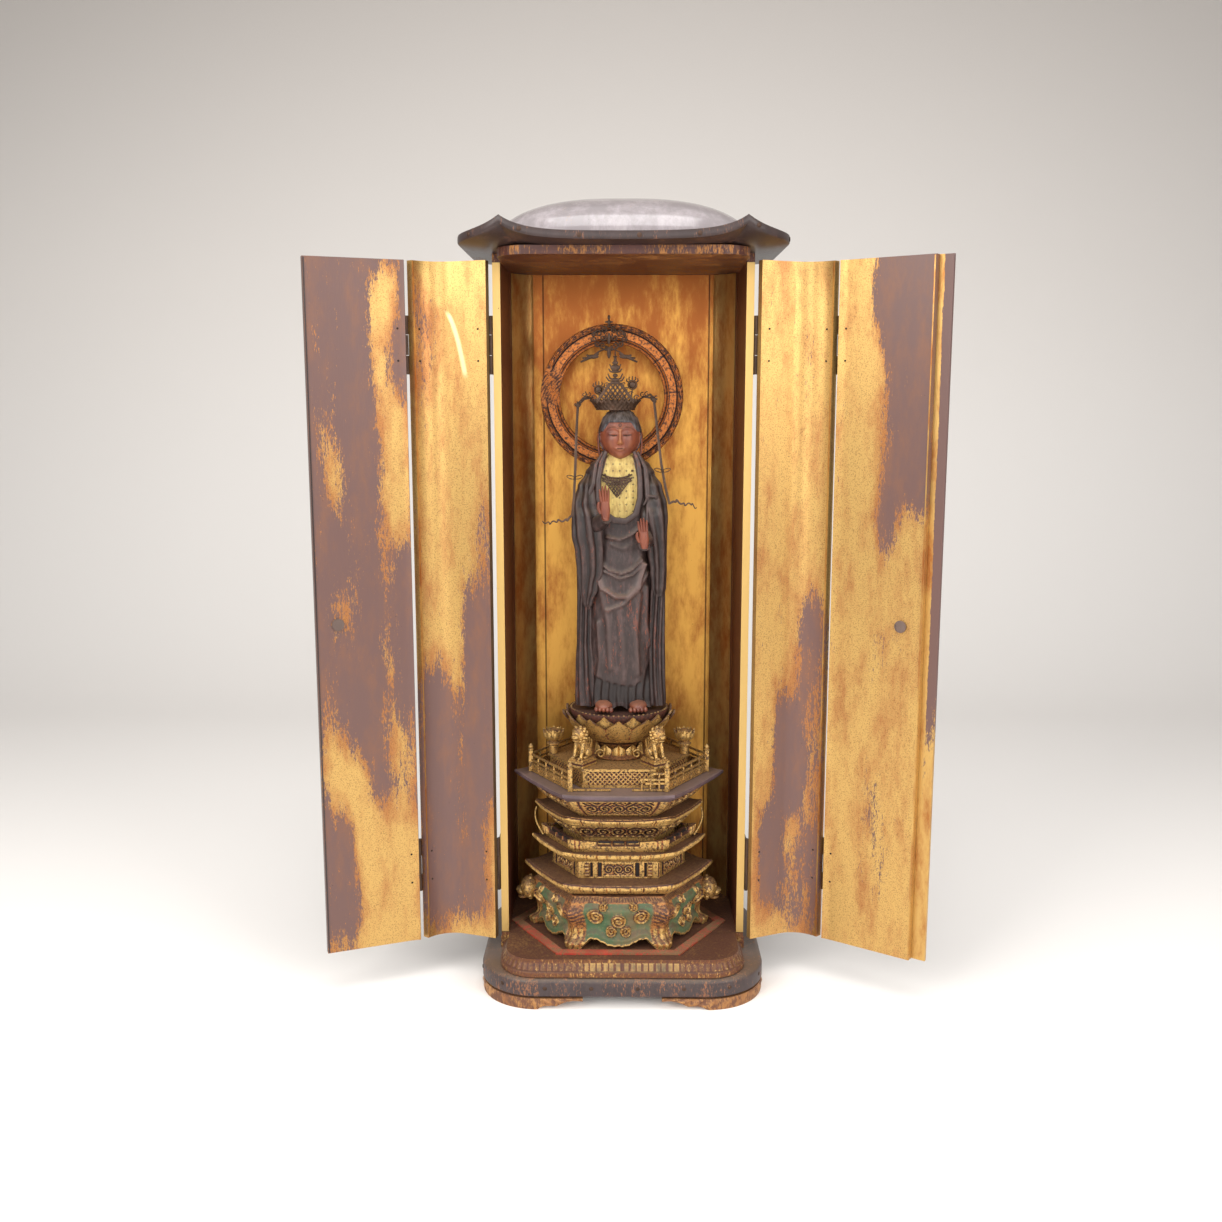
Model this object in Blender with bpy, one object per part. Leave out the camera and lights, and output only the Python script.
"""Lacquered and gilded shrine cabinet with folding doors, its stepped pedestal and its
standing figure. Metres, +Z up, front towards -Y, origin on the floor at the middle of the base."""
import math

import bmesh
import bpy
import numpy as np
from mathutils import Matrix
from mathutils.geometry import convex_hull_2d

# Fits
GAP = 0.0003            # left between pieces that touch
DOOR_CLEARANCE = 0.0015  # between the closed doors and the edges that they close over

# Base
FOOT_HEIGHT = 0.0115
FOOT_THICK = 0.014
FOOT_REACH = 0.105       # how far a bracket foot runs along the front from the corner
BASE_HALF_WIDTH = 0.1445
BASE_HALF_DEPTH = 0.112
BASE_CORNER = 0.060
SLAB_HEIGHT = 0.0202
DAIS_HEIGHT = 0.0170
DAIS_FLARE = 0.006

# Case
CASE_HALF_WIDTH = 0.1265
CASE_WALL = 0.0075
CASE_FRONT_Y = -0.036
CASE_BACK_Y = 0.091
CASE_BACK_CORNER = 0.040
CASE_HEIGHT = 0.6805
LINTEL_THICK = 0.008

# Doors, drawn shut: the outer face runs straight forward, round a corner and to the middle
DOOR_THICK = 0.007
DOOR_CORNER_WIDTH = 0.040
DOOR_CORNER_DEPTH = 0.039
DOOR_FRONT_Y = -0.112
INNER_LEAF_LENGTH = 0.086
LEAF_GAP = 0.0012
DOOR_BELOW_FLOOR = 0.0035   # the leaves hang this far below the floor of the case
DOOR_ABOVE_LINTEL = 0.001
OPEN_INNER = {"left": 108.7, "right": 114.1}   # degrees from shut to the pose shown
OPEN_OUTER = {"left": 49.1, "right": 31.2}
STRIP_WIDTH = 0.024
STRIP_THICK = 0.0035
STRIP_LAP = 0.55             # share of the strip that laps the other leaf
PLUG_RADIUS = 0.006
PLUG_THICK = 0.0016
PLUG_FROM_EDGE = 0.022
PLUG_HEIGHT = 0.383

# Hinges
HINGE_HEIGHT = 0.056
HINGE_RISES = (0.124, 0.652)
HINGE_OFFSET = 0.0021       # axis outside the outer face
KNUCKLE_RADIUS = 0.0017
HINGE_PLATE_THICK = 0.0012
HINGE_PLATE_WIDTH = 0.013

# Door fittings
LOCK_HEIGHT = 0.086
LOCK_WAVE = 0.0015
LOCK_RISE = 0.404
FITTING_THICK = 0.0014

# Roof
EAVE_HALF_WIDTH = 0.155
EAVE_HALF_DEPTH = 0.126
EAVE_CORNER = 0.060
EAVE_THICK = 0.0075
COVE_HEIGHT = 0.0022
CUSP_LIFT = 0.0145
CUSP_SPREAD = 0.020
DOME_HALF_WIDTH = 0.124
DOME_HALF_DEPTH = 0.096
DOME_HEIGHT = 0.043

# Pedestal: hexagons with a flat side in front; SIDE is half the width from corner to corner,
# FRONT is half the width of the flat side
PEDESTAL_X = -0.004
PEDESTAL_Y = -0.009
ROOM_BESIDE = CASE_HALF_WIDTH - CASE_WALL + PEDESTAL_X      # from its middle to the nearer side wall
ROOM_BEHIND = CASE_BACK_Y - CASE_WALL - PEDESTAL_Y
PEDESTAL_ROOM = min(ROOM_BESIDE, ROOM_BEHIND * 1.25)        # its plan is drawn as shares of this
HEX_SLOPE = 1.62            # depth gained for each step from the flat side to the corner
FLOOR_FRAME_SIDE = PEDESTAL_ROOM * 0.99304
FLOOR_FRAME_FRONT = PEDESTAL_ROOM * 0.54087
FLOOR_FRAME_BAR = 0.010
FLOOR_FRAME_THICK = 0.0016
SKIRT_SIDE = PEDESTAL_ROOM * 0.81739
SKIRT_FRONT = PEDESTAL_ROOM * 0.43043
SKIRT_HEIGHT = 0.0539
FOOT_SLAB_SIDE = PEDESTAL_ROOM * 0.83478
FOOT_SLAB_FRONT = PEDESTAL_ROOM * 0.46957
FOOT_SLAB_HEIGHT = 0.0127
WAIST_SIDE = PEDESTAL_ROOM * 0.61739
WAIST_FRONT = PEDESTAL_ROOM * 0.35652
WAIST_HEIGHT = 0.0177
MIDDLE_SLAB_SIDE = PEDESTAL_ROOM * 0.76522
MIDDLE_SLAB_FRONT = PEDESTAL_ROOM * 0.46087
MIDDLE_SLAB_HEIGHT = 0.0102
GALLERY_SIDE = PEDESTAL_ROOM * 0.67826
GALLERY_FRONT = PEDESTAL_ROOM * 0.4087
GALLERY_HEIGHT = 0.0100
GALLERY_WALL = 0.0045
SCROLL_SIDE = PEDESTAL_ROOM * 0.58261
SCROLL_FRONT = PEDESTAL_ROOM * 0.36522
SCROLL_HEIGHT = 0.0160
UPPER_SLAB_SIDE = PEDESTAL_ROOM * 0.73913
UPPER_SLAB_FRONT = PEDESTAL_ROOM * 0.43478
UPPER_SLAB_HEIGHT = 0.0112
BOWL_SIDE = PEDESTAL_ROOM * 0.78261
BOWL_FRONT = PEDESTAL_ROOM * 0.43043
BOWL_HEIGHT = 0.0245
TERRACE_SIDE = PEDESTAL_ROOM * 0.93043
TERRACE_FRONT = PEDESTAL_ROOM * 0.46957
TERRACE_THICK = 0.0080
CORNER_LIFT = 0.0045
DRUM_SIDE = PEDESTAL_ROOM * 0.64348
DRUM_FRONT = PEDESTAL_ROOM * 0.32174
DRUM_HEIGHT = 0.0190
RAIL_SIDE = PEDESTAL_ROOM * 0.8
RAIL_FRONT = PEDESTAL_ROOM * 0.41739
RAIL_POST = 0.0052
RAIL_POST_HEIGHT = 0.029
RAIL_BAR = 0.0026
STEM_RADIUS = PEDESTAL_ROOM * 0.26087
STEM_HEIGHT = 0.0150
LOTUS_RADIUS = PEDESTAL_ROOM * 0.50435
LOTUS_HEIGHT = 0.0355
LOTUS_PETALS = 12
CUP_RADIUS = PEDESTAL_ROOM * 0.0913
CUP_HEIGHT = 0.027
LION_PLINTH = 0.0075
LION_HEIGHT = 0.034
LION_OUT = PEDESTAL_ROOM * 0.32174
LION_FORWARD = PEDESTAL_ROOM * 0.37391
LION_TURN = 55.0

# Figure, with its forms as shares of its height
FIGURE_HEIGHT = 0.300
FIGURE_X = -0.003
FIGURE_Y = -0.012
HALO_RADIUS = 0.073
HALO_INNER = 0.0535
HALO_THICK = 0.007
HALO_X = -0.0115
HALO_Y = 0.026
HALO_RISE = 0.3165       # ring's centre above the lotus
POLE_RADIUS = 0.0032

# Heights that follow from the sizes above
SLAB_Z = FOOT_HEIGHT + GAP
DAIS_Z = SLAB_Z + SLAB_HEIGHT + GAP
FLOOR_Z = DAIS_Z + DAIS_HEIGHT
CASE_Z = FLOOR_Z + GAP
LINTEL_Z = CASE_Z + CASE_HEIGHT + GAP
EAVE_Z = LINTEL_Z + LINTEL_THICK + GAP
DOME_Z = EAVE_Z + COVE_HEIGHT + EAVE_THICK + GAP
DOOR_BOTTOM = FLOOR_Z - DOOR_BELOW_FLOOR
DOOR_TOP = LINTEL_Z + DOOR_ABOVE_LINTEL
SKIRT_Z = FLOOR_Z + GAP
FOOT_SLAB_Z = SKIRT_Z + SKIRT_HEIGHT + GAP
WAIST_Z = FOOT_SLAB_Z + FOOT_SLAB_HEIGHT + GAP
MIDDLE_SLAB_Z = WAIST_Z + WAIST_HEIGHT + GAP
GALLERY_Z = MIDDLE_SLAB_Z + MIDDLE_SLAB_HEIGHT + GAP
SCROLL_Z = GALLERY_Z
UPPER_SLAB_Z = SCROLL_Z + GALLERY_HEIGHT + SCROLL_HEIGHT + GAP
BOWL_Z = UPPER_SLAB_Z + UPPER_SLAB_HEIGHT + GAP
TERRACE_Z = BOWL_Z + BOWL_HEIGHT + GAP
DECK_Z = TERRACE_Z + TERRACE_THICK + GAP
DRUM_TOP = DECK_Z + DRUM_HEIGHT
STEM_Z = DRUM_TOP + GAP
LOTUS_Z = STEM_Z + STEM_HEIGHT + GAP
FIGURE_Z = LOTUS_Z + LOTUS_HEIGHT + GAP


# Materials
def finish(name, colour, roughness, metallic):
    """A plain Principled material."""
    material = bpy.data.materials.new(name)
    material.use_nodes = True
    shader = material.node_tree.nodes["Principled BSDF"]
    shader.inputs["Base Color"].default_value = (*colour, 1.0)
    shader.inputs["Roughness"].default_value = roughness
    shader.inputs["Metallic"].default_value = metallic
    return material


# Meshes
def ring_faces(levels, around, close_ends=True):
    """Quads between the rings of a loft, with a face over each end."""
    faces = []
    for level in range(levels - 1):
        for step in range(around):
            a = level * around + step
            b = level * around + (step + 1) % around
            faces.append((a, b, b + around, a + around))
    if close_ends:
        faces.append(tuple(range(around))[::-1])
        top = (levels - 1) * around
        faces.append(tuple(range(top, top + around)))
    return faces


def loft_shape(rings):
    """Points and faces of a closed body carried through rings with equal counts of points."""
    rings = np.asarray(rings, dtype=float)
    levels, around = rings.shape[:2]
    return rings.reshape(-1, 3), ring_faces(levels, around)


def wheel_shape(profile_rings):
    """Points and faces of a ring-shaped body: closed rings that also close on the first."""
    rings = np.asarray(profile_rings, dtype=float)
    levels, around = rings.shape[:2]
    faces = ring_faces(levels, around, close_ends=False)
    last = (levels - 1) * around
    for step in range(around):
        other = (step + 1) % around
        faces.append((last + step, last + other, other, step))
    return rings.reshape(-1, 3), faces


def prism_shape(outline, low, high):
    """Points and faces of a flat outline raised from low to high."""
    outline = np.asarray(outline, dtype=float)
    rings = [np.column_stack([outline, np.full(len(outline), z)]) for z in (low, high)]
    return loft_shape(rings)


def add_solid(name, shape, material):
    """One object from points and faces, with its faces turned outwards."""
    points, faces = shape
    mesh = bpy.data.meshes.new(name)
    mesh.from_pydata(np.asarray(points).tolist(), [], faces)
    work = bmesh.new()
    work.from_mesh(mesh)
    bmesh.ops.recalc_face_normals(work, faces=work.faces)
    work.to_mesh(mesh)
    work.free()
    body = bpy.data.objects.new(name, mesh)
    bpy.context.collection.objects.link(body)
    mesh.materials.append(material)
    return body


def joined(shapes):
    """Several shapes as one list of points and faces."""
    points = []
    faces = []
    for part_points, part_faces in shapes:
        offset = len(points)
        points.extend(np.asarray(part_points).tolist())
        faces.extend(tuple(index + offset for index in face) for face in part_faces)
    return points, faces


def fuse(name, shapes, material, cuts=()):
    """One solid from overlapping shapes, less the shapes in cuts."""
    body = add_solid(name, shapes[0], material)
    rounds = [("UNION", shapes[1:]), ("DIFFERENCE", cuts)]
    for operation, others in rounds:
        if not others:
            continue
        tool = add_solid(name + "_tool", joined(others), material)
        step = body.modifiers.new("Fuse", "BOOLEAN")
        step.operation = operation
        step.object = tool
        step.use_self = True
        graph = bpy.context.evaluated_depsgraph_get()
        result = bpy.data.meshes.new_from_object(body.evaluated_get(graph))
        body.modifiers.clear()
        body.data = result
        bpy.data.objects.remove(tool)
    work = bmesh.new()
    work.from_mesh(body.data)
    bmesh.ops.remove_doubles(work, verts=work.verts, dist=1e-6)
    bmesh.ops.dissolve_degenerate(work, edges=work.edges, dist=1e-6)
    work.to_mesh(body.data)
    work.free()
    return body


def put_origin(body, place):
    """Put an object's origin at a point without moving its shape."""
    body.data.transform(Matrix.Translation([-float(value) for value in place]))
    body.location = place
    return body


def smooth(body, angle=40.0):
    """Shade a round piece smooth, with its real edges kept sharp."""
    body.data.shade_smooth()
    body.data.set_sharp_from_angle(angle=math.radians(angle))
    return body


def arc(centre, radii, start, stop, steps):
    """Points on an ellipse from one angle to another, in degrees."""
    angles = np.radians(np.linspace(start, stop, steps + 1))
    return np.column_stack([centre[0] + radii[0] * np.cos(angles), centre[1] + radii[1] * np.sin(angles)])


def at_height(outline, z):
    """A flat outline as a ring of points; z is one height or one for each point."""
    outline = np.asarray(outline)
    return np.column_stack([outline, np.broadcast_to(z, len(outline))])


def box_shape(low, high):
    """A box between two corners."""
    x0, y0 = low[:2]
    x1, y1 = high[:2]
    return prism_shape([(x0, y0), (x1, y0), (x1, y1), (x0, y1)], low[2], high[2])


def bar_shape(start, stop, width, low, high):
    """An upright-sided bar from one plan point to another."""
    start = np.asarray(start, dtype=float)
    stop = np.asarray(stop, dtype=float)
    along = (stop - start) / np.linalg.norm(stop - start)
    side = np.array([-along[1], along[0]]) * width / 2
    return prism_shape([start - side, stop - side, stop + side, start + side], low, high)


def tube_shape(path, radii, sides=8, flat=1.0):
    """A body along a path of points, each ring an ellipse; flat is its depth over its width."""
    path = np.asarray(path, dtype=float)
    radii = np.broadcast_to(radii, len(path))
    tangent = np.gradient(path, axis=0)
    tangent /= np.linalg.norm(tangent, axis=1)[:, None]
    depth_way = np.array([0.0, 1.0, 0.0])
    across = np.cross(tangent, depth_way)
    across /= np.linalg.norm(across, axis=1)[:, None]
    deep = np.cross(across, tangent)
    turn = np.linspace(0, 2 * math.pi, sides, endpoint=False)
    rings = (path[:, None, :]
             + radii[:, None, None] * (np.cos(turn)[None, :, None] * across[:, None, :]
                                       + flat * np.sin(turn)[None, :, None] * deep[:, None, :]))
    return loft_shape(rings)


def ball_shape(centre, radii, sides=8, levels=5):
    """A ball or egg as a stack of rings."""
    tilt = np.linspace(0.12, math.pi - 0.12, levels)
    turn = np.linspace(0, 2 * math.pi, sides, endpoint=False)
    rings = np.stack([centre[0] + radii[0] * np.outer(np.sin(tilt), np.cos(turn)),
                      centre[1] + radii[1] * np.outer(np.sin(tilt), np.sin(turn)),
                      centre[2] - radii[2] * np.outer(np.cos(tilt), np.ones(sides))], axis=2)
    return loft_shape(rings)


def mirrored(shape):
    """A shape reflected left to right."""
    points, faces = shape
    points = np.array(points, dtype=float)
    points[:, 0] *= -1
    return points, [face[::-1] for face in faces]


# Outlines in plan
def rounded_plan(half_width, half_depth, corner, steps=6):
    """A rectangle with round corners, anticlockwise."""
    x = half_width - corner
    y = half_depth - corner
    corners = [((x, -y), -90), ((x, y), 0), ((-x, y), 90), ((-x, -y), 180)]
    return np.vstack([arc(centre, (corner, corner), start, start + 90, steps) for centre, start in corners])


def with_more_points(outline, longest):
    """A closed outline with points added evenly along its long straight stretches."""
    result = []
    for here, there in zip(outline, np.roll(outline, -1, axis=0)):
        count = max(1, math.ceil(np.linalg.norm(there - here) / longest))
        share = np.arange(count)[:, None] / count
        result.append(here + share * (there - here))
    return np.vstack(result)


def case_path(inset, steps=7):
    """Right half of the case wall from its front edge to the middle of the back."""
    corner = CASE_BACK_CORNER - inset
    x = CASE_HALF_WIDTH - CASE_BACK_CORNER
    y = CASE_BACK_Y - CASE_BACK_CORNER
    side = np.array([[CASE_HALF_WIDTH - inset, CASE_FRONT_Y]])
    return np.vstack([side, arc((x, y), (corner, corner), 0, 90, steps)])


def door_path(inset, count=41):
    """Right half of the closed doors from the hinge to the middle, as a fine path."""
    centre = (CASE_HALF_WIDTH - DOOR_CORNER_WIDTH, DOOR_FRONT_Y + DOOR_CORNER_DEPTH)
    start = np.array([[CASE_HALF_WIDTH - inset, CASE_FRONT_Y - LEAF_GAP]])
    corner = arc(centre, (DOOR_CORNER_WIDTH - inset, DOOR_CORNER_DEPTH - inset), 0, -90, count)
    end = np.array([[0.0, DOOR_FRONT_Y + inset]])
    return np.vstack([start, corner, end])


def sill_plan(outset=0.0, steps=7):
    """Outline of the floor and lintel boards: under the case wall behind, inside the doors in front."""
    inset = DOOR_THICK + DOOR_CLEARANCE
    centre = (CASE_HALF_WIDTH - DOOR_CORNER_WIDTH, DOOR_FRONT_Y + DOOR_CORNER_DEPTH)
    radii = (DOOR_CORNER_WIDTH - inset + outset, DOOR_CORNER_DEPTH - inset + outset)
    front = arc(centre, radii, -90, 0, steps)
    step_y = CASE_FRONT_Y
    notch = np.array([[CASE_HALF_WIDTH - inset + outset, step_y - GAP],
                      [CASE_HALF_WIDTH + min(outset, 0.001), step_y]])
    x = CASE_HALF_WIDTH - CASE_BACK_CORNER
    y = CASE_BACK_Y - CASE_BACK_CORNER
    corner = CASE_BACK_CORNER + min(outset, 0.001)
    back = arc((x, y), (corner, corner), 0, 90, steps)
    right = np.vstack([front, notch, back])
    left = right[::-1] * np.array([-1.0, 1.0])
    return np.vstack([right, left])


def cut_path(path, start, stop, steps):
    """The stretch of a path between two lengths along it, as evenly spaced points."""
    legs = np.linalg.norm(np.diff(path, axis=0), axis=1)
    length = np.concatenate([[0.0], np.cumsum(legs)])
    wanted = np.linspace(start, stop, steps + 1)
    return np.column_stack([np.interp(wanted, length, path[:, 0]), np.interp(wanted, length, path[:, 1])])


def path_length(path):
    """Length of a path."""
    return float(np.linalg.norm(np.diff(path, axis=0), axis=1).sum())


def inward(points, distance):
    """A path's points moved square to it, towards the inside of the closed doors."""
    tangent = np.gradient(points, axis=0)
    tangent /= np.linalg.norm(tangent, axis=1)[:, None]
    normal = np.column_stack([tangent[:, 1], -tangent[:, 0]])
    return points + distance * normal


def turned(points, centre, degrees):
    """Plan points turned about a centre."""
    angle = math.radians(degrees)
    turn = np.array([[math.cos(angle), -math.sin(angle)], [math.sin(angle), math.cos(angle)]])
    return (np.asarray(points) - centre) @ turn.T + centre


# Base
def make_feet(material):
    """Four bracket feet whose lower edges rise in cusps from the corner towards the gap."""
    x = BASE_HALF_WIDTH - BASE_CORNER
    y = BASE_HALF_DEPTH - BASE_CORNER
    straight = FOOT_REACH - BASE_CORNER
    inner = BASE_CORNER - FOOT_THICK
    for name, sx, sy in (("front_left", -1, -1), ("front_right", 1, -1), ("back_left", -1, 1),
                         ("back_right", 1, 1)):
        outer_arc = arc((x, y), (BASE_CORNER, BASE_CORNER), 0, 90, 8)
        inner_arc = arc((x, y), (inner, inner), 0, 90, 8)
        side = np.linspace(1, 0.2, 5)[:, None]
        outer = np.vstack([np.array([0, -straight * 0.7]) * side + outer_arc[0], outer_arc,
                           np.array([-straight, 0]) * side[::-1] + outer_arc[-1]])
        within = np.vstack([np.array([0, -straight * 0.7]) * side + inner_arc[0], inner_arc,
                            np.array([-straight, 0]) * side[::-1] + inner_arc[-1]])
        share = np.abs(np.linspace(-1, 1, len(outer)))
        rise = FOOT_HEIGHT * (0.75 * np.clip((share - 0.45) / 0.55, 0, 1)
                              + 0.22 * np.abs(np.sin(share * 3 * math.pi)) * (share > 0.45))
        rise = np.minimum(rise, FOOT_HEIGHT * 0.8)
        section = np.stack([at_height(outer, rise), at_height(outer, FOOT_HEIGHT),
                            at_height(within, FOOT_HEIGHT), at_height(within, rise)], axis=1)
        section[:, :, 0] *= sx
        section[:, :, 1] *= sy
        add_solid("foot_" + name, loft_shape(section), material)


def make_base_slab(material):
    """The dark base: a riveted band, drawn in a little below, with a rounded ledge on top."""
    levels = [(0.0, 0.0030), (0.12, 0.0), (0.82, 0.0), (1.0, 0.0045)]
    rings = [at_height(rounded_plan(BASE_HALF_WIDTH - inset, BASE_HALF_DEPTH - inset, BASE_CORNER - inset),
                       SLAB_Z + share * SLAB_HEIGHT) for share, inset in levels]
    smooth(add_solid("base_slab", loft_shape(rings), material), 30)


def make_dais(material):
    """The floor block: a step below, a sloping band and the flat floor."""
    plain_top = (DOOR_BOTTOM - DAIS_Z) / DAIS_HEIGHT
    levels = [(0.0, DAIS_FLARE), (0.36, DAIS_FLARE), (0.40, DAIS_FLARE * 0.6), (plain_top - 0.06, 0.0),
              (1.0, 0.0)]
    rings = [at_height(sill_plan(outset), DAIS_Z + share * DAIS_HEIGHT) for share, outset in levels]
    add_solid("dais", loft_shape(rings), material)


def hex_points(side, front, per_side=1, flare=0.0, scale=1.0):
    """A hexagon's points and how near each is to a corner, 1 on the corner and 0 between."""
    depth = HEX_SLOPE * (side - front)
    corners = np.array([(side, 0), (front, depth), (-front, depth), (-side, 0), (-front, -depth),
                        (front, -depth)])
    share = np.arange(per_side) / per_side
    ring = np.vstack([corners[i] + share[:, None] * (corners[(i + 1) % 6] - corners[i]) for i in range(6)])
    nearness = np.tile(np.abs(2 * share - 1), 6)
    reach = scale * (1 + flare * nearness ** 3)
    return ring * reach[:, None] + (PEDESTAL_X, PEDESTAL_Y), nearness


def hex_scaled(ring, factor):
    """A ring of plan points drawn in or out about the pedestal's axis."""
    centre = np.array([PEDESTAL_X, PEDESTAL_Y])
    return centre + (ring - centre) * np.broadcast_to(factor, len(ring))[:, None]


def hex_loft(side, front, levels, per_side):
    """A stack of hexagons: each level gives scale, height, corner lift and corner flare."""
    rings = []
    for scale, z, lift, flare in levels:
        ring, nearness = hex_points(side, front, per_side, flare, scale)
        rings.append(at_height(ring, z + lift * nearness ** 3))
    return rings


def make_floor_frame(material):
    """A flat hexagonal frame let into the floor round the pedestal."""
    outer, _ = hex_points(FLOOR_FRAME_SIDE, FLOOR_FRAME_FRONT)
    inset = FLOOR_FRAME_BAR * math.hypot(1, 1 / HEX_SLOPE)
    within, _ = hex_points(FLOOR_FRAME_SIDE - inset, FLOOR_FRAME_FRONT - inset * 0.5)
    low = FLOOR_Z + GAP
    high = low + FLOOR_FRAME_THICK
    rings = [at_height(outer, low), at_height(outer, high), at_height(within, high), at_height(within, low)]
    add_solid("floor_frame", wheel_shape(rings), material)


# Case
def make_case(material):
    """The bent wall of the case, open in front."""
    outer = case_path(0.0)
    within = case_path(CASE_WALL)
    mirror = np.array([-1.0, 1.0])
    outline = np.vstack([outer, outer[::-1] * mirror, within * mirror, within[::-1]])
    smooth(add_solid("case_wall", prism_shape(outline, CASE_Z, CASE_Z + CASE_HEIGHT), material), 30)


def make_lintel(material):
    """The board that closes the case above, with the same plan as the floor."""
    rings = [at_height(sill_plan(), LINTEL_Z), at_height(sill_plan(), LINTEL_Z + LINTEL_THICK)]
    add_solid("lintel_board", loft_shape(rings), material)


# Roof
def eave_rings(steps=6):
    """The eave's outline, the dome's outline point for point, and the lift towards each cusp."""
    outer = with_more_points(rounded_plan(EAVE_HALF_WIDTH, EAVE_HALF_DEPTH, EAVE_CORNER, steps),
                             EAVE_CORNER * 0.6)
    turn = np.arctan2(outer[:, 1] / EAVE_HALF_DEPTH, outer[:, 0] / EAVE_HALF_WIDTH)
    inner = dome_plan(turn, 1.0)
    corner_x = EAVE_HALF_WIDTH - EAVE_CORNER * 0.72
    away = np.abs(np.abs(outer[:, 0]) - corner_x)
    lift = CUSP_LIFT * np.exp(-away / CUSP_SPREAD)
    return outer, inner, lift


def dome_plan(turn, share):
    """The dome's plan, a rectangle swollen towards an ellipse, at a share of its full size."""
    power = 2.0 / 3.2
    x = np.sign(np.cos(turn)) * np.abs(np.cos(turn)) ** power * DOME_HALF_WIDTH * share
    y = np.sign(np.sin(turn)) * np.abs(np.sin(turn)) ** power * DOME_HALF_DEPTH * share
    return np.column_stack([x, y])


def make_roof(band, shell):
    """The eave, coved below and riveted round its rim, with its four cusps, and the low dome."""
    outer, inner, lift = eave_rings()
    keep = 0.86
    lip = inner + (outer - inner) * keep
    foot = inner + (outer - inner) * 0.25
    rings = [at_height(foot, EAVE_Z), at_height(lip, EAVE_Z + COVE_HEIGHT * 0.6 + lift * keep),
             at_height(outer, EAVE_Z + COVE_HEIGHT + lift),
             at_height(outer, EAVE_Z + COVE_HEIGHT + EAVE_THICK + lift),
             at_height(inner, EAVE_Z + COVE_HEIGHT + EAVE_THICK)]
    add_solid("eave", loft_shape(rings), band)
    turn = np.linspace(0, 2 * math.pi, 32, endpoint=False)
    shares = np.array([1.0, 0.985, 0.90, 0.74, 0.50, 0.20])
    rise = DOME_HEIGHT * (1 - shares ** 2.2) ** 0.5
    rise[0] = 0.0
    rings = [at_height(dome_plan(turn, share), DOME_Z + z) for share, z in zip(shares, rise)]
    smooth(add_solid("roof_dome", loft_shape(rings), shell), 40)


# Doors
def hinge_axes():
    """Plan points of the right-hand hinges with the doors shut, and the doors' outer path."""
    path = door_path(0.0)
    first = np.array([CASE_HALF_WIDTH + HINGE_OFFSET, CASE_FRONT_Y - LEAF_GAP / 2])
    split = cut_path(path, INNER_LEAF_LENGTH - 0.001, INNER_LEAF_LENGTH + 0.001, 2)
    second = inward(split, -HINGE_OFFSET)[1]
    return first, second, path


def leaf_outline(path, start, stop, steps):
    """A curved leaf's plan between two lengths along the closed doors."""
    finer = 8
    outer = cut_path(path, start, stop, steps * finer)
    return np.vstack([outer[::finer], inward(outer, DOOR_THICK)[::-finer]])


def plate_outline(path, near, far, rise, thick):
    """A thin plate on the outer face between two lengths along the closed doors."""
    base = cut_path(path, near, far, 2)
    return np.vstack([inward(base, -rise), inward(base, -rise - thick)[::-1]])


def hinge_half(plate, axis, low, high, knuckles):
    """Half a hinge: its plate with its knuckles round the axis, over the given shares of height."""
    shapes = [prism_shape(plate, low, high)]
    height = high - low
    near = plate[np.argsort(np.linalg.norm(plate - axis, axis=1))[:2]]
    reach = near + (plate.mean(axis=0) - near) * 0.15
    ring = arc(axis, (KNUCKLE_RADIUS, KNUCKLE_RADIUS), 0, 300, 5)
    points = np.vstack([ring, reach])
    outline = points[convex_hull_2d([tuple(p) for p in points])]
    for start, stop in knuckles:
        shapes.append(prism_shape(outline, low + start * height, low + stop * height))
    return shapes


def pose_shapes(shapes, moves, side):
    """Shapes turned about each hinge in order, then reflected for the left-hand side."""
    result = []
    for points, faces in shapes:
        points = np.array(points, dtype=float)
        for centre, degrees in moves:
            points[:, :2] = turned(points[:, :2], centre, degrees)
        shape = (points, faces)
        result.append(mirrored(shape) if side < 0 else shape)
    return result


def make_doors(gilt, lacquer, metal):
    """Both pairs of folding leaves as they stand open, with hinges, plugs, strip and fittings."""
    first, second, path = hinge_axes()
    total = path_length(path)
    for name, side in (("left", -1), ("right", 1)):
        swing = [(first, OPEN_INNER[name])]
        turns = {"case": [], "inner": swing, "outer": [(second, OPEN_OUTER[name])] + swing}
        inner = prism_shape(leaf_outline(path, 0.0, INNER_LEAF_LENGTH - LEAF_GAP / 2, 10),
                            DOOR_BOTTOM, DOOR_TOP)
        outer = prism_shape(leaf_outline(path, INNER_LEAF_LENGTH + LEAF_GAP / 2, total - LEAF_GAP / 2, 9),
                            DOOR_BOTTOM, DOOR_TOP)
        smooth(add_solid("inner_door_" + name, pose_shapes([inner], turns["inner"], side)[0], gilt), 30)
        smooth(add_solid("outer_door_" + name, pose_shapes([outer], turns["outer"], side)[0], gilt), 30)
        plug_x = PLUG_FROM_EDGE
        plug_y = DOOR_FRONT_Y + DOOR_THICK + GAP
        ring = arc((plug_x, PLUG_HEIGHT), (PLUG_RADIUS, PLUG_RADIUS), 0, 345, 15)
        disc = [np.column_stack([ring[:, 0], np.full(len(ring), y), ring[:, 1]])
                for y in (plug_y, plug_y + PLUG_THICK)]
        add_solid("door_plug_" + name, pose_shapes([loft_shape(disc)], turns["outer"], side)[0], lacquer)
        make_hinges(name, side, turns, first, second, path, metal)
        if side > 0:
            make_meeting_strip(turns["outer"], lacquer, metal)
        set_door_origins(name, side, first, turned(second, first, OPEN_INNER[name]))


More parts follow.
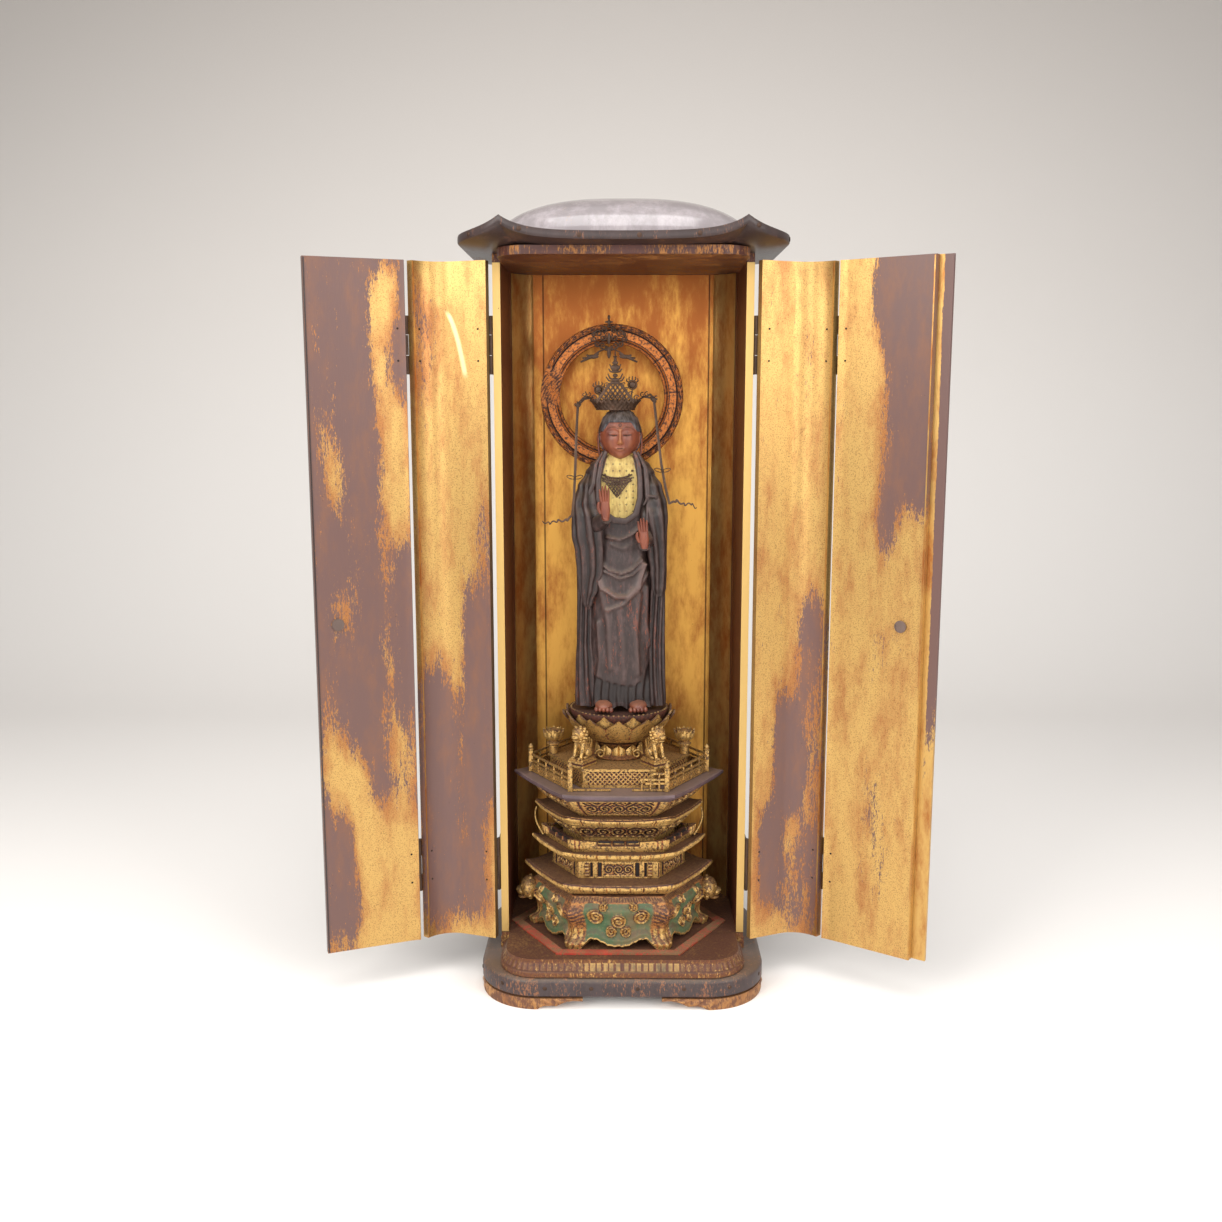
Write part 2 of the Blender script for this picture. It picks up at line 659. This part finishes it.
def set_door_origins(name, side, case_axis, fold_axis):
    """Put the origin of each moving piece of one side on the axis that it turns about."""
    endings = {"_inner_near": case_axis, "_inner_far": case_axis, "_outer": fold_axis}
    pieces = {"inner_door_" + name: case_axis, "outer_door_" + name: fold_axis,
              "door_plug_" + name: fold_axis}
    for level in ("lower", "upper"):
        for ending, axis in endings.items():
            pieces["hinge_%s_%s%s" % (name, level, ending)] = axis
    if side > 0:
        pieces.update({"meeting_strip": fold_axis, "lock_plate": fold_axis})
    for piece, axis in pieces.items():
        put_origin(bpy.data.objects[piece], (side * axis[0], axis[1], 0.0))


def make_hinges(name, side, turns, first, second, path, metal):
    """Two hinges at each of the side's two folds, each in two halves."""
    away = KNUCKLE_RADIUS + GAP * 2
    case_plate = np.array([[CASE_HALF_WIDTH + GAP, first[1] + away],
                           [CASE_HALF_WIDTH + GAP + HINGE_PLATE_THICK, first[1] + away],
                           [CASE_HALF_WIDTH + GAP + HINGE_PLATE_THICK, first[1] + away + HINGE_PLATE_WIDTH],
                           [CASE_HALF_WIDTH + GAP, first[1] + away + HINGE_PLATE_WIDTH]])
    plates = {
        "case": (case_plate, first),
        "inner_near": (plate_outline(path, away, away + HINGE_PLATE_WIDTH, GAP, HINGE_PLATE_THICK), first),
        "inner_far": (plate_outline(path, INNER_LEAF_LENGTH - away - HINGE_PLATE_WIDTH,
                                    INNER_LEAF_LENGTH - away, GAP, HINGE_PLATE_THICK), second),
        "outer": (plate_outline(path, INNER_LEAF_LENGTH + away,
                                INNER_LEAF_LENGTH + away + HINGE_PLATE_WIDTH, GAP, HINGE_PLATE_THICK), second),
    }
    ends = ((0.0, 0.32), (0.68, 1.0))
    middle = ((0.33, 0.67),)
    rows = (("case", "case", ends), ("inner_near", "inner", middle),
            ("inner_far", "inner", ends), ("outer", "outer", middle))
    for level, rise in zip(("lower", "upper"), HINGE_RISES):
        low = rise - HINGE_HEIGHT / 2
        for plate_name, body, knuckles in rows:
            plate, axis = plates[plate_name]
            shapes = hinge_half(plate, axis, low, low + HINGE_HEIGHT, knuckles)
            shapes = pose_shapes(shapes, turns[body], side)
            fuse("hinge_%s_%s_%s" % (name, level, plate_name), shapes, metal)


def make_meeting_strip(moves, lacquer, metal):
    """The strip on the right outer leaf that laps the left one, with its lock plate."""
    y_back = DOOR_FRONT_Y - GAP
    strip = box_shape((-STRIP_WIDTH * STRIP_LAP, y_back - STRIP_THICK, DOOR_BOTTOM),
                      (STRIP_WIDTH * (1 - STRIP_LAP), y_back, DOOR_TOP))
    add_solid("meeting_strip", pose_shapes([strip], moves, 1)[0], lacquer)
    face = y_back - STRIP_THICK - GAP
    share = np.linspace(-1, 1, 9)
    edge = STRIP_WIDTH * 0.40 - LOCK_WAVE * np.cos(share * 3 * math.pi)
    height = LOCK_RISE + share * LOCK_HEIGHT / 2
    outline = np.vstack([np.column_stack([-edge, height]), np.column_stack([edge, height])[::-1]])
    rings = [np.column_stack([outline[:, 0], np.full(len(outline), y), outline[:, 1]])
             for y in (face, face - FITTING_THICK)]
    add_solid("lock_plate", pose_shapes([loft_shape(rings)], moves, 1)[0], metal)


# Pedestal
def make_slab(name, side, front, z, thick, lift, material):
    """A moulded hexagonal slab whose corners turn up."""
    levels = [(0.86, z, 0, 0), (0.965, z + thick * 0.30, lift * 0.5, 0.01),
              (1.0, z + thick * 0.55, lift, 0.03), (1.0, z + thick * 0.9, lift, 0.03),
              (0.91, z + thick, 0, 0)]
    return add_solid(name, loft_shape(hex_loft(side, front, levels, 3)), material)


def make_skirt(material):
    """The lion-footed skirt: swelling corners that end in paws, and hanging aprons between them."""
    steps = 6
    shares = (0.02, 0.12, 0.26, 0.50, 0.76, 0.90, 1.0)
    swell = (0.98, 0.995, 0.94, 0.97, 1.045, 1.0, 0.93)
    ring, near = hex_points(SKIRT_SIDE, SKIRT_FRONT, steps)
    rings = [at_height(hex_scaled(ring, 0.80), SKIRT_Z + SKIRT_HEIGHT * 0.16)]
    leg = np.clip(near * 2.2 - 1.2, 0, 1)
    apron = np.clip(1 - near * 1.6, 0, 1)
    low = 0.10 * (1 - leg) * (1 - 0.75 * apron)
    for share, size in zip(shares, swell):
        bulge = math.sin(math.pi * share)
        scroll = np.exp(-((near - 0.45) / 0.12) ** 2) * bulge
        paw = leg * (0.055 if share < 0.2 else 0.0)
        factor = size * (0.965 + 0.045 * leg * bulge + 0.035 * apron + 0.045 * scroll + paw)
        height = np.maximum(share, low + 0.3 * share) if share > shares[0] else low
        rings.append(at_height(hex_scaled(ring, factor), SKIRT_Z + SKIRT_HEIGHT * height))
    shapes = [loft_shape(rings)]
    for side in (-1, 1):
        x = PEDESTAL_X + side * SKIRT_SIDE
        z = SKIRT_Z + SKIRT_HEIGHT * 0.72
        unit = SKIRT_HEIGHT / 54
        shapes.append(ball_shape((x, PEDESTAL_Y, z), (11 * unit, 14 * unit, 13 * unit), 7, 4))
        snout = (x + side * 7 * unit, PEDESTAL_Y, z - 5 * unit)
        shapes.append(ball_shape(snout, (7 * unit, 8 * unit, 6 * unit), 5, 3))
    fuse("pedestal_skirt", shapes, material)


def make_waist(material):
    """The waist: a hexagon with corner pillars and raised panels."""
    rings = []
    ring, near = hex_points(WAIST_SIDE, WAIST_FRONT, 8)
    groove = (near > 0.4) & (near < 0.8)
    for share, cut in ((0, 0), (0.10, 0), (0.12, 0.05), (0.88, 0.05), (0.90, 0), (1.0, 0)):
        rings.append(at_height(hex_scaled(ring, 1 - cut * groove), WAIST_Z + share * WAIST_HEIGHT))
    add_solid("pedestal_waist", loft_shape(rings), material)


def make_gallery(material):
    """The low wall with three slots in each front side and horns that curl up at the corners."""
    outer, near = hex_points(GALLERY_SIDE, GALLERY_FRONT, 4)
    within, _ = hex_points(GALLERY_SIDE - GALLERY_WALL * 1.2, GALLERY_FRONT - GALLERY_WALL * 0.6, 4)
    top = GALLERY_Z + GALLERY_HEIGHT
    corner = near > 0.99
    spread = hex_scaled(outer, 1 + 0.07 * corner)
    rings = [at_height(outer, GALLERY_Z), at_height(spread, top + 0.010 * corner), at_height(within, top),
             at_height(within, GALLERY_Z)]
    corners, _ = hex_points(GALLERY_SIDE, GALLERY_FRONT)
    cuts = []
    for index in (3, 4, 5):
        start = corners[index]
        run = corners[(index + 1) % 6] - start
        normal = np.array([run[1], -run[0]]) / np.linalg.norm(run)
        for slot in (0.34, 0.5, 0.66):
            middle = start + run * slot
            cuts.append(bar_shape(middle - normal * 0.02, middle + normal * 0.02,
                                  np.linalg.norm(run) * 0.13, GALLERY_Z + GALLERY_HEIGHT * 0.28,
                                  GALLERY_Z + GALLERY_HEIGHT * 0.78))
    fuse("pedestal_gallery", [wheel_shape(rings)], material, cuts)


def make_scroll_band(material):
    """The band of scrolls under the upper slab, swelling upwards in a row of lobes."""
    steps = 6
    height = GALLERY_HEIGHT + SCROLL_HEIGHT
    ring, _ = hex_points(SCROLL_SIDE, SCROLL_FRONT, steps)
    lobe = np.tile(np.arange(steps) % 2, 6) * 0.045
    rings = [at_height(hex_scaled(ring, size - lobe * relief), SCROLL_Z + share * height)
             for share, size, relief in ((0.0, 0.90, 0), (0.40, 0.90, 0), (0.42, 0.95, 1), (0.70, 1.04, 1),
                                         (0.92, 1.12, 1), (1.0, 1.13, 0))]
    add_solid("pedestal_scroll_band", loft_shape(rings), material)


def make_bowl_drum(material):
    """The carved drum that widens like a bowl up to the terrace."""
    levels = [(0.76 + 0.24 * math.sin(share * math.pi / 2), BOWL_Z + share * BOWL_HEIGHT, 0, 0)
              for share in (0.0, 0.12, 0.35, 0.62, 0.86, 1.0)]
    add_solid("pedestal_bowl_drum", loft_shape(hex_loft(BOWL_SIDE, BOWL_FRONT, levels, 2)), material)


def make_terrace(material):
    """The plain terrace plate with softly turned-up corners."""
    levels = [(0.93, TERRACE_Z, 0, 0), (1.0, TERRACE_Z + TERRACE_THICK * 0.40, 0.0030, 0.02),
              (1.0, TERRACE_Z + TERRACE_THICK * 0.80, 0.0030, 0.02), (0.95, TERRACE_Z + TERRACE_THICK, 0, 0)]
    add_solid("terrace", loft_shape(hex_loft(TERRACE_SIDE, TERRACE_FRONT, levels, 4)), material)


def make_railing(material):
    """Railing on six posts; its front side is broken and only stubs of it are left."""
    corners, _ = hex_points(RAIL_SIDE, RAIL_FRONT)
    base = DECK_Z
    shapes = []
    for x, y in corners:
        half = RAIL_POST / 2
        shapes.append(box_shape((x - half, y - half, base), (x + half, y + half, base + RAIL_POST_HEIGHT * 0.86)))
        shapes.append(ball_shape((x, y, base + RAIL_POST_HEIGHT * 0.90), (half * 0.9, half * 0.9, 0.0032), 4, 3))
    heights = (0.0004, 0.0105, 0.0195)
    front = 4
    for index in range(6):
        start = corners[index]
        run = corners[(index + 1) % 6] - start
        spans = ((0.0, 1.0),) * 3
        posts = (0.5,)
        if index == front:
            spans = ((0.0, 0.34), None, None)
            posts = ()
        for height, span in zip(heights, spans):
            if span is None:
                continue
            shapes.append(bar_shape(start + run * span[0], start + run * span[1], RAIL_BAR,
                                    base + height, base + height + RAIL_BAR))
        for post in posts:
            middle = start + run * post
            along = run / np.linalg.norm(run) * RAIL_BAR / 2
            shapes.append(bar_shape(middle - along, middle + along, RAIL_BAR * 0.7,
                                    base + heights[0] + 0.001, base + heights[2] + 0.001))
    start = corners[front]
    run = corners[front + 1 - 6] - start
    for height, reach in zip(heights, (0.70, 0.66, 0.74)):
        shapes.append(bar_shape(start + run * reach, start + run, RAIL_BAR, base + height,
                                base + height + RAIL_BAR))
    for post in (0.84,):
        middle = start + run * post
        along = run / np.linalg.norm(run) * RAIL_BAR / 2
        shapes.append(bar_shape(middle - along, middle + along, RAIL_BAR * 0.7, base + 0.001, base + RAIL_POST_HEIGHT * 0.724))
    fuse("terrace_railing", shapes, material)


def make_lotus(gold):
    """The drum, the leafy stem and the lotus bowl that the figure stands on."""
    levels = [(1, DECK_Z, 0, 0), (1, DECK_Z + 0.0025, 0, 0), (0.96, DECK_Z + 0.003, 0, 0),
              (0.96, DRUM_TOP - 0.003, 0, 0), (1, DRUM_TOP - 0.0025, 0, 0), (1, DRUM_TOP, 0, 0)]
    add_solid("upper_drum", loft_shape(hex_loft(DRUM_SIDE, DRUM_FRONT, levels, 1)), gold)
    turn = np.linspace(0, 2 * math.pi, 20, endpoint=False)
    lobe = np.abs(np.cos(turn * 5))
    rings = []
    for share, size, relief in ((0, 1.0, 0.16), (0.16, 1.0, 0.16), (0.5, 0.80, 0.12), (0.8, 0.66, 0.04),
                                (1.0, 0.80, 0.0)):
        radius = STEM_RADIUS * (size - relief * (1 - lobe))
        plan = np.column_stack([PEDESTAL_X + radius * np.cos(turn), PEDESTAL_Y + radius * np.sin(turn)])
        rings.append(at_height(plan, STEM_Z + share * STEM_HEIGHT))
    add_solid("lotus_stem", loft_shape(rings), gold)
    turn = np.linspace(0, 2 * math.pi, LOTUS_PETALS * 3, endpoint=False)
    lobe = np.abs(np.cos(turn * LOTUS_PETALS / 2))
    rings = []
    for share, size, relief in ((0, 0.40, 0.0), (0.10, 0.52, 0.03), (0.35, 0.78, 0.07), (0.62, 0.93, 0.08),
                                (0.90, 1.0, 0.10), (1.0, 0.955, 0.05)):
        radius = LOTUS_RADIUS * (size - relief * (1 - lobe))
        plan = np.column_stack([PEDESTAL_X + radius * np.cos(turn),
                                PEDESTAL_Y + radius * np.sin(turn) * 0.9])
        rings.append(at_height(plan, LOTUS_Z + share * LOTUS_HEIGHT))
    smooth(add_solid("lotus_bowl", loft_shape(rings), gold), 35)


def make_lotus_cups(gold):
    """A small lotus cup on a post at each side corner of the drum."""
    turn = np.linspace(0, 2 * math.pi, 8, endpoint=False)
    for name, side in (("left", -1), ("right", 1)):
        x = PEDESTAL_X + side * (DRUM_SIDE - CUP_RADIUS * 0.55)
        rings = []
        for share, size in ((0, 0.42), (0.36, 0.42), (0.40, 0.70), (0.46, 0.70), (0.52, 0.40), (0.60, 0.74),
                            (0.78, 0.98), (0.94, 0.84), (1.0, 0.45)):
            ring = np.column_stack([x + CUP_RADIUS * size * np.cos(turn),
                                    PEDESTAL_Y + CUP_RADIUS * size * np.sin(turn)])
            rings.append(at_height(ring, DRUM_TOP + GAP + share * CUP_HEIGHT))
        add_solid("lotus_cup_" + name, loft_shape(rings), gold)


def make_lions(gold):
    """Two seated lions on small plinths, at the front corners of the drum, facing outwards."""
    base = DRUM_TOP + GAP
    top = base + LION_PLINTH
    tall = LION_HEIGHT
    plinth = [box_shape((-0.0130, -0.0100, base), (0.0130, 0.0100, base + LION_PLINTH * 0.45)),
              box_shape((-0.0110, -0.0085, base + LION_PLINTH * 0.4), (0.0110, 0.0085, top))]
    form = [tube_shape([(0.0075, 0, top - 0.001), (0.0060, 0, top + tall * 0.22), (0.0010, 0, top + tall * 0.42),
                        (-0.0035, 0, top + tall * 0.62)], (0.0060, 0.0070, 0.0065, 0.0050), 6),
            ball_shape((-0.0050, 0, top + tall * 0.74), (0.0072, 0.0074, 0.0074), 6, 4),
            ball_shape((-0.0105, 0, top + tall * 0.68), (0.0042, 0.0040, 0.0034), 5, 3),
            tube_shape([(0.0100, 0, top - 0.001), (0.0118, 0, top + tall * 0.30), (0.0095, 0, top + tall * 0.52)],
                       (0.0022, 0.0034, 0.0012), 5)]
    for depth in (-0.0042, 0.0042):
        form.append(tube_shape([(-0.0080, depth, top - 0.001), (-0.0065, depth, top + tall * 0.30),
                                (-0.0030, depth, top + tall * 0.50)], (0.0024, 0.0022, 0.0026), 5))
    for name, side in (("left", -1), ("right", 1)):
        shapes = []
        for points, faces in plinth + form:
            points = np.array(points, dtype=float)
            points[:, :2] = turned(points[:, :2], np.zeros(2), LION_TURN)
            points[:, 0] *= -side
            points[:, :2] += (PEDESTAL_X + side * LION_OUT, PEDESTAL_Y - LION_FORWARD)
            shapes.append((points, faces))
        fuse("lion_" + name, shapes, gold)


# Figure
def robe_size(share):
    """Half-width and half-depth of the robe at a share of the figure's height."""
    levels = (0.0, 0.03, 0.16, 0.36, 0.52, 0.60, 0.70, 0.77, 0.812, 0.835, 0.86)
    widths = (0.118, 0.112, 0.106, 0.100, 0.094, 0.090, 0.098, 0.104, 0.086, 0.056, 0.042)
    depths = (0.078, 0.075, 0.072, 0.068, 0.064, 0.062, 0.062, 0.060, 0.052, 0.044, 0.038)
    return np.interp(share, levels, widths), np.interp(share, levels, depths)


def robe_front(x_share, share, proud):
    """A point on the robe's front at a place across and up, standing proud of it."""
    width, depth = robe_size(share)
    y = -depth * math.sqrt(max(0.0, 1 - (x_share / width) ** 2)) - proud
    return (x_share, y, share)


def figure_forms():
    """The carved figure as overlapping forms, in shares of its height, feet at zero."""
    turn = np.linspace(0, 2 * math.pi, 20, endpoint=False)
    rings = []
    for share in (0.0, 0.03, 0.16, 0.36, 0.60, 0.70, 0.77, 0.812, 0.835, 0.86, 0.90):
        width, depth = robe_size(share)
        fold = 0.0045 * np.cos(turn * 10) * max(0.0, 1 - share / 0.60)
        rings.append(np.column_stack([(width + fold) * np.cos(turn), (depth + fold) * np.sin(turn),
                                      np.full(len(turn), share)]))
    forms = [loft_shape(rings)]
    for side in (-1, 1):
        shoulder = [(side * x, y, z) for x, y, z in (
            (0.050, 0.0, 0.818), (0.080, 0.0, 0.800), (0.102, -0.004, 0.750), (0.114, -0.016, 0.650),
            (0.112, -0.012, 0.560), (0.116, -0.002, 0.460), (0.119, 0.0, 0.220), (0.124, 0.0, 0.012))]
        sizes = (0.020, 0.036, 0.042, 0.046, 0.042, 0.031, 0.027, 0.030)
        forms.append(tube_shape(shoulder, sizes, 7, 1.35))
        foot = ball_shape((side * 0.058, -0.072, 0.0199), (0.034, 0.052, 0.020), 7, 4)
        forms.append(foot)
    raised = [(-0.085, -0.055, 0.620), (-0.062, -0.095, 0.640), (-0.050, -0.120, 0.655), (-0.046, -0.128, 0.668)]
    forms.append(tube_shape(raised, (0.034, 0.030, 0.022, 0.014), 7, 1.0))
    hand = [(-0.046, -0.126, 0.655), (-0.044, -0.130, 0.690), (-0.050, -0.130, 0.715), (-0.058, -0.128, 0.765)]
    forms.append(tube_shape(hand, (0.013, 0.019, 0.020, 0.012), 6, 0.6))
    lowered = [(0.090, -0.050, 0.590), (0.088, -0.085, 0.575), (0.084, -0.110, 0.572), (0.080, -0.124, 0.575)]
    forms.append(tube_shape(lowered, (0.034, 0.030, 0.020, 0.013), 7, 1.0))
    palm = [(0.082, -0.122, 0.562), (0.078, -0.126, 0.595), (0.074, -0.126, 0.615), (0.070, -0.122, 0.655)]
    forms.append(tube_shape(palm, (0.013, 0.020, 0.019, 0.010), 6, 0.6))
    forms.append(ball_shape((0.0, -0.006, 0.927), (0.066, 0.070, 0.084), 10, 7))
    forms.append(ball_shape((0.0, 0.006, 0.955), (0.071, 0.074, 0.062), 10, 4))
    for side in (-1, 1):
        lapel = [robe_front(side * 0.046, 0.840, 0.002), robe_front(side * 0.066, 0.790, 0.003),
                 robe_front(side * 0.070, 0.720, 0.004), robe_front(side * 0.056, 0.665, 0.003)]
        forms.append(tube_shape(lapel, (0.010, 0.012, 0.013, 0.010), 5, 0.8))
    for low, wide in ((0.560, 0.070), (0.470, 0.066), (0.420, 0.060)):
        places = np.linspace(-1, 1, 6)
        fold = [robe_front(wide * p, low + 0.055 * p * p + 0.01 * p, 0.002) for p in places]
        forms.append(tube_shape(fold, (0.004, 0.009, 0.011, 0.011, 0.009, 0.004), 4, 1.0))
    return forms


def make_figure(material):
    """The standing figure on the lotus, carved in one with its robe, hands, feet and head."""
    shapes = []
    for points, faces in figure_forms():
        points = np.array(points, dtype=float) * FIGURE_HEIGHT + (FIGURE_X, FIGURE_Y, FIGURE_Z)
        shapes.append((points, faces))
    smooth(fuse("figure", shapes, material), 50)


def figure_point(x, y, z):
    """A place given in shares of the figure's height."""
    return (FIGURE_X + x * FIGURE_HEIGHT, FIGURE_Y + y * FIGURE_HEIGHT, FIGURE_Z + z * FIGURE_HEIGHT)


def make_crown(metal):
    """The pierced crown: a flaring band, a pointed front with a spire, and two discs on stalks."""
    turn = np.linspace(0, 2 * math.pi, 12, endpoint=False)
    seat = 1.0185
    low, high = seat, seat + 0.046
    rings = []
    for radius, z in ((0.060, low), (0.080, high), (0.074, high), (0.052, low)):
        rings.append([figure_point(radius * math.cos(a), radius * math.sin(a), z) for a in turn])
    shapes = [wheel_shape(rings)]
    half = ((0.052, 0.012), (0.074, 0.044), (0.055, 0.060), (0.046, 0.085), (0.030, 0.098), (0.016, 0.112),
            (0.030, 0.135), (0.026, 0.160), (0.010, 0.172), (0.005, 0.185), (0.0, 0.196))
    outline = [(x, seat + z) for x, z in half] + [(-x, seat + z) for x, z in half[-2::-1]]
    front = [[figure_point(x, y, z) for x, z in outline] for y in (-0.076, -0.068)]
    shapes.append(loft_shape(front))
    for x, z in ((-0.072, 0.085), (0.066, 0.102)):
        ring = arc((x, seat + z), (0.017, 0.017), 0, 324, 9)
        disc = [[figure_point(px, y, pz) for px, pz in ring] for y in (-0.052, -0.040)]
        shapes.append(loft_shape(disc))
        stalk = [figure_point(x * 0.86, -0.046, seat + 0.030), figure_point(x, -0.046, seat + z)]
        shapes.append(tube_shape(stalk, 0.0012, 5))
    fuse("crown", shapes, metal)


def make_streamers(metal):
    """A thin metal ribbon that hangs from each side of the crown and curls out at its end."""
    runs = {
        "left": ((-0.088, -0.004, 1.052), (-0.120, -0.006, 1.046), (-0.138, -0.016, 1.030),
                 (-0.142, -0.060, 0.930), (-0.146, -0.088, 0.820), (-0.150, -0.098, 0.730),
                 (-0.156, -0.100, 0.668), (-0.175, -0.100, 0.652), (-0.205, -0.100, 0.650),
                 (-0.232, -0.100, 0.642), (-0.256, -0.100, 0.646)),
        "right": ((0.088, -0.004, 1.056), (0.100, -0.006, 1.062), (0.112, -0.016, 1.044),
                  (0.120, -0.050, 0.950), (0.134, -0.086, 0.840), (0.148, -0.098, 0.760),
                  (0.162, -0.100, 0.712), (0.185, -0.100, 0.716), (0.212, -0.100, 0.704),
                  (0.236, -0.100, 0.706), (0.252, -0.100, 0.690)),
    }
    for name, run in runs.items():
        path = [figure_point(*place) for place in run]
        add_solid("streamer_" + name, tube_shape(path, 0.0016, 4, 0.7), metal)


def make_necklace(metal):
    """The pierced bib of metal on the chest, deepest in the middle."""
    places = np.linspace(-1, 1, 9)
    rings = []
    for place in places:
        x = 0.044 * place
        top = 0.812 - 0.014 * (1 - place * place)
        low = top - 0.006 - 0.056 * (1 - abs(place)) ** 0.8
        rings.append([figure_point(*robe_front(x, z, proud))
                      for z, proud in ((top, 0.006), (low, 0.006), (low, 0.0105), (top, 0.0105))])
    add_solid("necklace", loft_shape(rings), metal)


def make_halo(gilt, metal):
    """The ring halo on its pole, with the pierced ornament fixed to its top."""
    centre_z = FIGURE_Z + HALO_RISE
    turn = np.radians(np.arange(30) * 12.0 - 90.0)
    band = (HALO_RADIUS - HALO_INNER)
    half = HALO_THICK / 2
    profile = ((HALO_RADIUS, -half), (HALO_RADIUS, half), (HALO_INNER, half), (HALO_INNER, -half),
               (HALO_INNER + band * 0.62, -half), (HALO_INNER + band * 0.68, -half * 1.7))
    rings = [np.column_stack([HALO_X + r * np.cos(turn), np.full(30, HALO_Y + y), centre_z + r * np.sin(turn)])
             for r, y in profile]
    smooth(add_solid("halo_ring", wheel_shape(rings), gilt), 30)
    pole_y = HALO_Y + half + GAP + POLE_RADIUS
    lap = band * 0.8
    ring = arc((HALO_X, pole_y), (POLE_RADIUS, POLE_RADIUS), 0, 324, 9)
    add_solid("halo_pole", prism_shape(ring, FIGURE_Z, centre_z - HALO_RADIUS + lap), gilt)
    half_plan = ((0.0, 1.105), (0.02, 1.065), (0.066, 1.030), (0.02, 0.995), (0.034, 0.940), (0.150, 0.905),
                 (0.255, 0.850), (0.260, 0.740), (0.200, 0.690), (0.330, 0.660), (0.378, 0.570),
                 (0.300, 0.480), (0.165, 0.520), (0.110, 0.600), (0.0, 0.560))
    outline = [(x, z) for x, z in half_plan] + [(-x, z) for x, z in half_plan[-2:0:-1]]
    front_y = HALO_Y - half * 1.7 - GAP
    plates = [[(HALO_X + x * HALO_RADIUS, y, centre_z + z * HALO_RADIUS) for x, z in outline]
              for y in (front_y - 0.0020, front_y)]
    add_solid("halo_ornament", loft_shape(plates), metal)


def build():
    """Clear the scene and make every piece."""
    for old in list(bpy.data.objects):
        bpy.data.objects.remove(old)
    lacquer = finish("dark lacquer", (0.045, 0.030, 0.024), 0.35, 0.0)
    gilt = finish("gilt lacquer", (0.62, 0.40, 0.13), 0.38, 0.8)
    carved_gold = finish("carved gilding", (0.66, 0.43, 0.16), 0.42, 0.8)
    red = finish("red lacquer", (0.42, 0.07, 0.04), 0.45, 0.0)
    shell = finish("pale lacquer", (0.40, 0.36, 0.32), 0.25, 0.0)
    brown = finish("brown lacquer", (0.14, 0.10, 0.09), 0.55, 0.0)
    wood = finish("old carved wood", (0.15, 0.11, 0.10), 0.6, 0.0)
    metal = finish("dark bronze", (0.20, 0.15, 0.12), 0.5, 0.7)
    make_feet(carved_gold)
    make_base_slab(lacquer)
    make_dais(brown)
    make_floor_frame(red)
    make_case(gilt)
    make_lintel(lacquer)
    make_roof(lacquer, shell)
    make_doors(gilt, lacquer, metal)
    make_skirt(carved_gold)
    make_slab("pedestal_foot_slab", FOOT_SLAB_SIDE, FOOT_SLAB_FRONT, FOOT_SLAB_Z, FOOT_SLAB_HEIGHT, 0.0,
              carved_gold)
    make_waist(carved_gold)
    make_slab("pedestal_middle_slab", MIDDLE_SLAB_SIDE, MIDDLE_SLAB_FRONT, MIDDLE_SLAB_Z,
              MIDDLE_SLAB_HEIGHT, CORNER_LIFT, carved_gold)
    make_gallery(carved_gold)
    make_scroll_band(carved_gold)
    make_slab("pedestal_upper_slab", UPPER_SLAB_SIDE, UPPER_SLAB_FRONT, UPPER_SLAB_Z, UPPER_SLAB_HEIGHT,
              CORNER_LIFT, carved_gold)
    make_bowl_drum(carved_gold)
    make_terrace(brown)
    make_railing(carved_gold)
    make_lotus(carved_gold)
    make_lotus_cups(carved_gold)
    make_lions(carved_gold)
    make_figure(wood)
    make_crown(metal)
    make_streamers(metal)
    make_necklace(metal)
    make_halo(gilt, metal)


build()
